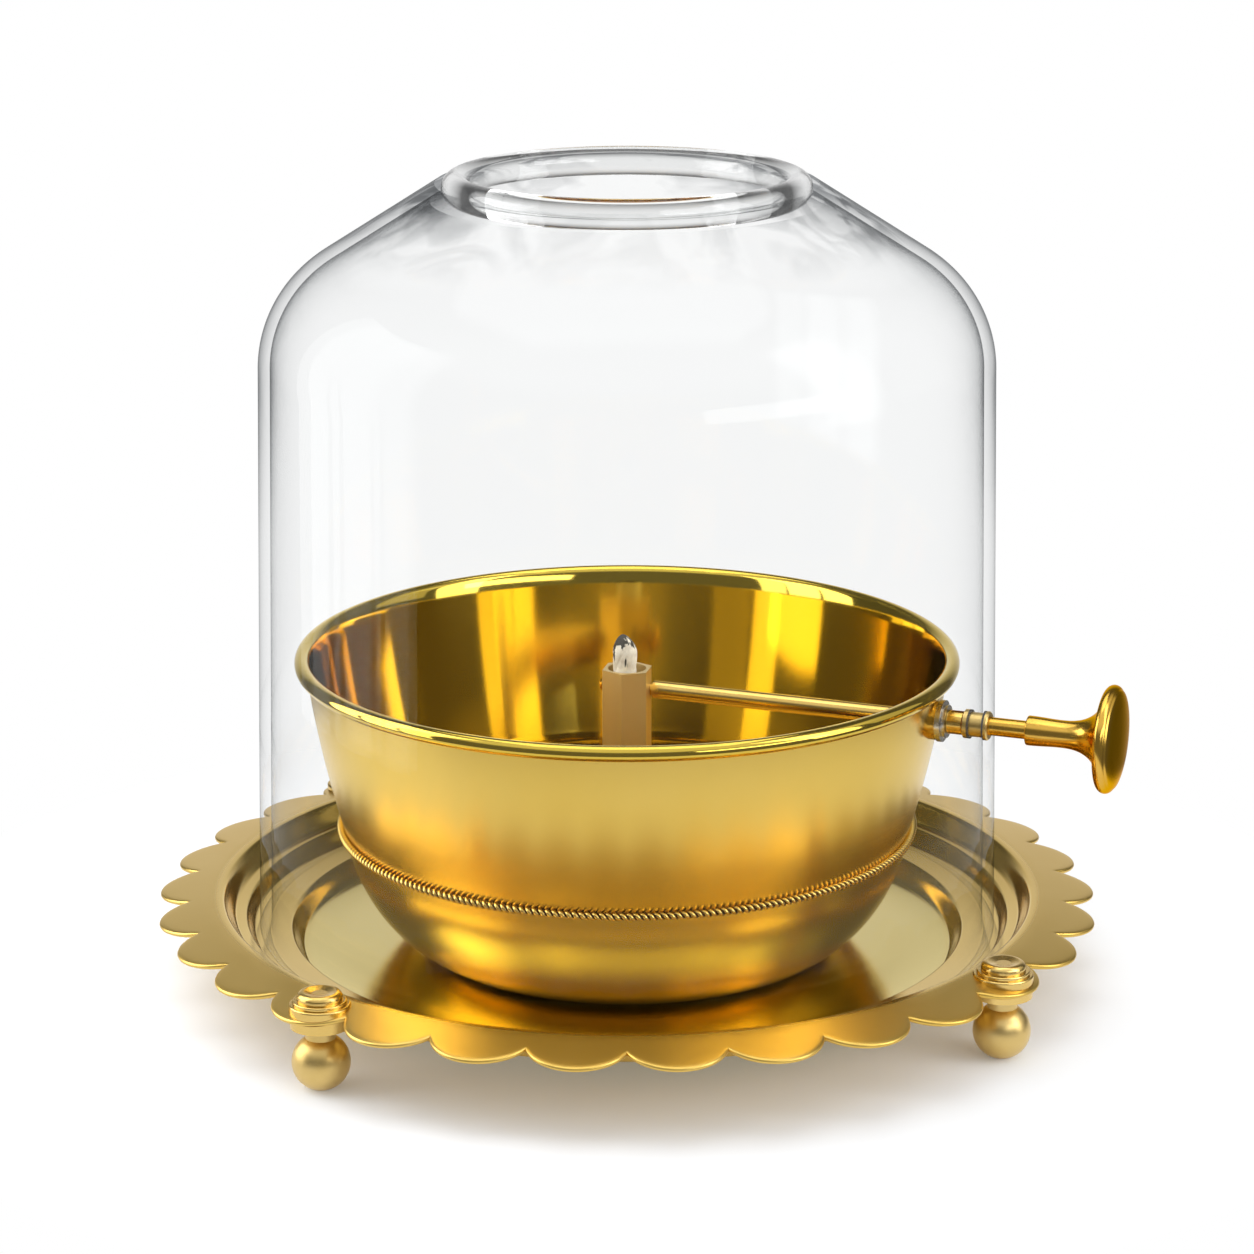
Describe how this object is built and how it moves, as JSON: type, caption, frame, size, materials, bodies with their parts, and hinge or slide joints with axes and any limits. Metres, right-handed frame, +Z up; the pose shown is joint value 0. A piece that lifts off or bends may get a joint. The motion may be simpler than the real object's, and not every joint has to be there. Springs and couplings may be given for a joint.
{
  "type": "akhand diya oil lamp",
  "caption": "Brass oil lamp with a footed scalloped tray, a rope-banded bowl, a wick post whose knob raises the wick, and a lift-off glass chimney.",
  "frame": {"origin": "on the lamp's upright axis at table level, in the middle of the circle of feet", "axes": "+Z up, +X out along the knob's rod, +Y completes the right-handed frame"},
  "size_m": [0.2184, 0.2116, 0.181],
  "materials": {
    "polished_brass": "polished spun and pressed sheet",
    "satin_brass": "satin turned brass",
    "bronze": "warm, darker polished bar",
    "steel": "plated small hardware",
    "gasket": "matt",
    "wick": "twisted cotton, charred at the tip",
    "glass": "clear blown glass"
  },
  "bodies": {
    "base": {"tray": "polished_brass", "foot_ball_right": "satin_brass", "foot_ball_front": "satin_brass", "foot_ball_left": "satin_brass", "foot_ball_rear": "satin_brass", "foot_drum_right": "polished_brass", "foot_drum_front": "polished_brass", "foot_drum_left": "polished_brass", "foot_drum_rear": "polished_brass", "foot_cap_right": "polished_brass", "foot_cap_front": "polished_brass", "foot_cap_left": "polished_brass", "foot_cap_rear": "polished_brass", "bowl": "polished_brass", "rope_band": "polished_brass", "wick_post": "satin_brass", "post_stud": "steel", "post_gasket": "gasket", "clamp_washer": "steel", "clamp_nut": "satin_brass", "gland_bush": "satin_brass", "gland_nut": "steel", "gland_packing": "gasket", "thrust_washer": "steel"},
    "spindle": {"spindle": "bronze", "feed_roller": "steel", "spindle_cap": "bronze"},
    "wick": {"wick": "wick"},
    "chimney": {"glass_chimney": "glass", "glass_bush": "satin_brass", "outer_gasket": "gasket", "inner_gasket": "gasket", "bush_nut": "satin_brass", "keep_ring": "steel"},
    "knob": {"knob": "bronze", "knob_rod": "bronze", "knob_pin": "bronze"}
  },
  "joints": [
    {"name": "spindle_turn", "type": "hinge", "parent": "base", "child": "spindle", "pos_m": [0, 0.00295, 0.0642], "axis": [-1, 0, 0], "range_deg": [-320, 458]},
    {"name": "wick_feed", "type": "slide", "parent": "base", "child": "wick", "axis": [0, 0, 1], "range_m": [-0.00698, 0.00999]},
    {"name": "chimney_lift", "type": "slide", "parent": "base", "child": "chimney", "axis": [0, 0, 1], "range_m": [0, 0.11]},
    {"name": "knob_turn", "type": "hinge", "parent": "chimney", "child": "knob", "pos_m": [0.09, 0.00295, 0.0642], "axis": [-1, 0, 0], "range_deg": [-320, 458]}
  ],
  "couplings": [
    {"joint": "spindle_turn", "follows": "wick_feed", "rad_per_m": 800},
    {"joint": "knob_turn", "follows": "wick_feed", "rad_per_m": 800}
  ]
}
